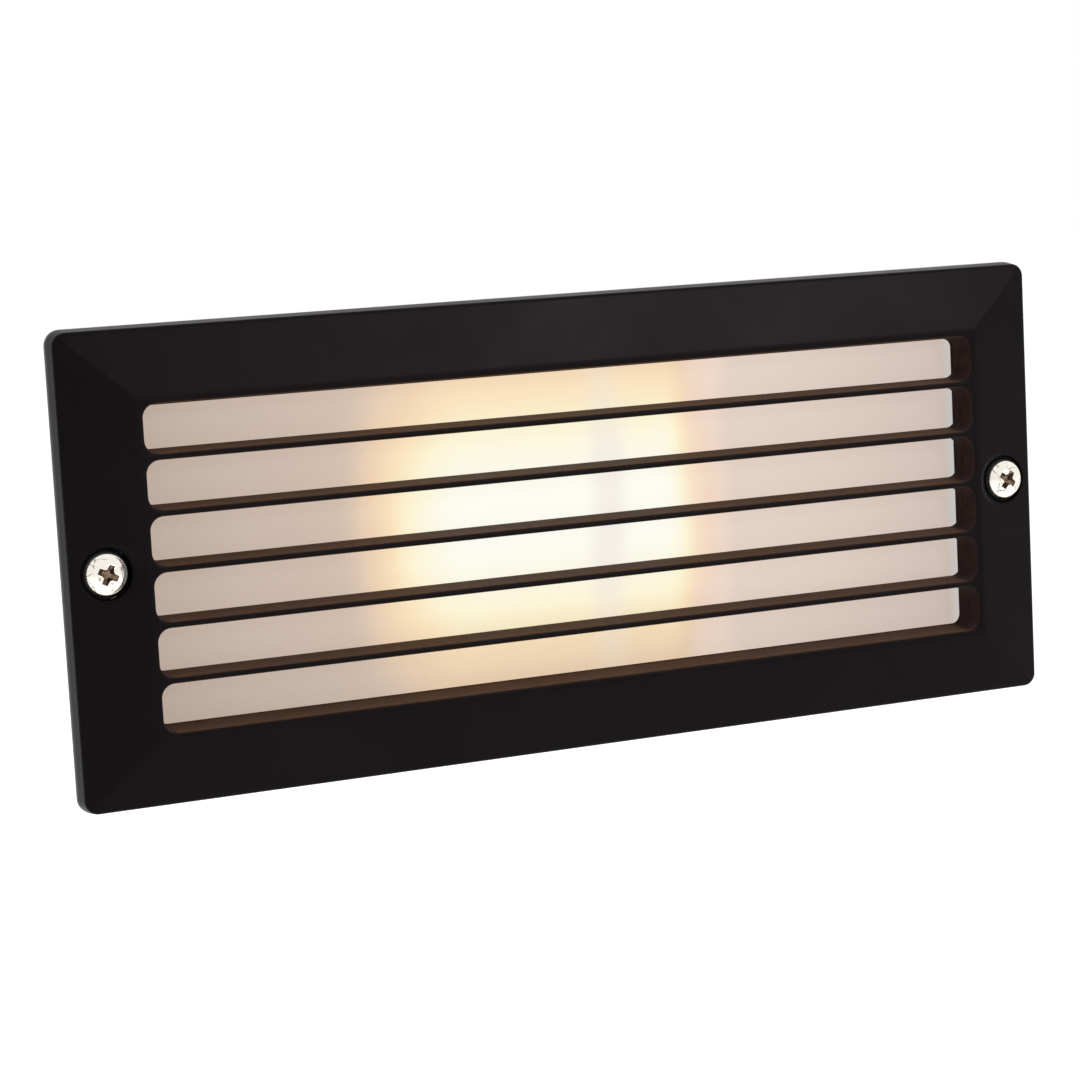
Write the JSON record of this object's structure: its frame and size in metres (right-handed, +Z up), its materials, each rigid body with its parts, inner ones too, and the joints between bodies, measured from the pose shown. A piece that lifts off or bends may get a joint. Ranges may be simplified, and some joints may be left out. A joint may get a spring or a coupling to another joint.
{
  "type": "brick light",
  "caption": "Recessed outdoor wall light in brick size, with a louvred cover over frosted glass, a back box, a screw-in lamp and its holder.",
  "frame": {"origin": "middle of the box's opening, on the plane where the flange bears on the face of the wall", "axes": "+X to the right along the long side, +Y into the wall, +Z up"},
  "size_m": [0.2408, 0.0808, 0.1042],
  "materials": {
    "cover_paint": "satin black stove enamel on die-cast metal",
    "frosted_glass": "acid-frosted flat glass",
    "seal_rubber": "moulded black rubber",
    "plated_steel": "bright zinc plating",
    "plated_screw": "polished nickel plating",
    "brass": "turned brass",
    "box_paint": "satin black paint on die-cast metal",
    "white_enamel": "white stove enamel",
    "porcelain": "glazed porcelain",
    "terminal_plastic": "natural moulded nylon",
    "clamp_plastic": "black moulded nylon",
    "live_sleeve": "brown silicone sleeve",
    "neutral_sleeve": "blue silicone sleeve",
    "earth_sleeve": "green and yellow silicone sleeve",
    "lamp_glass": "frosted lamp glass, lit",
    "cap_metal": "pressed aluminium with tinned contact",
    "cap_insulator": "black fused glass",
    "stem_glass": "clear glass",
    "tungsten": "tungsten wire on its supports"
  },
  "bodies": {
    "housing": {"back_box": "box_paint", "box_gasket": "seal_rubber", "screw_inserts": "brass", "cable_grommet": "seal_rubber", "entry_plug": "seal_rubber", "reflector_tray": "white_enamel", "tray_screws": "plated_steel", "holder_bracket": "plated_steel", "bracket_screws": "plated_steel", "holder_body": "porcelain", "holder_shell": "brass", "holder_contact": "brass", "holder_rivets": "plated_steel", "terminal_block": "terminal_plastic", "terminal_tubes": "brass", "terminal_screws": "plated_steel", "cord_clamp": "clamp_plastic", "clamp_screws": "plated_steel", "earth_screw": "brass", "earth_tag": "plated_steel", "live_wire": "live_sleeve", "neutral_wire": "neutral_sleeve", "earth_wire": "earth_sleeve"},
    "cover": {"front_cover": "cover_paint", "glass_panel": "frosted_glass", "glass_gasket": "seal_rubber", "glass_clips": "plated_steel", "clip_screws": "plated_steel"},
    "left_seal": {"left_washer": "seal_rubber"},
    "left_fastener": {"left_screw": "plated_screw"},
    "right_seal": {"right_washer": "seal_rubber"},
    "right_fastener": {"right_screw": "plated_screw"},
    "lamp": {"lamp_glass": "lamp_glass", "lamp_cap": "cap_metal", "lamp_insulator": "cap_insulator", "lamp_eyelet": "cap_metal", "lamp_stem": "stem_glass", "lamp_filament": "tungsten"}
  },
  "joints": [
    {"name": "cover_lift", "type": "slide", "parent": "housing", "child": "cover", "axis": [0, -1, 0], "range_m": [0, 0.12]},
    {"name": "left_backout", "type": "slide", "parent": "cover", "child": "left_seal", "axis": [0, -1, 0], "range_m": [0, 0.0114]},
    {"name": "left_turn", "type": "hinge", "parent": "left_seal", "child": "left_fastener", "pos_m": [-0.11207, 0, 0], "axis": [0, -1, 0], "range_deg": [0, 5870]},
    {"name": "right_backout", "type": "slide", "parent": "cover", "child": "right_seal", "axis": [0, -1, 0], "range_m": [0, 0.0114]},
    {"name": "right_turn", "type": "hinge", "parent": "right_seal", "child": "right_fastener", "pos_m": [0.11207, 0, 0], "axis": [0, -1, 0], "range_deg": [0, 5870]},
    {"name": "lamp_withdraw", "type": "slide", "parent": "housing", "child": "lamp", "axis": [1, 0, 0], "range_m": [0, 0.027]}
  ],
  "couplings": [
    {"joint": "left_turn", "follows": "left_backout", "rad_per_m": 8976},
    {"joint": "right_turn", "follows": "right_backout", "rad_per_m": 8976}
  ]
}
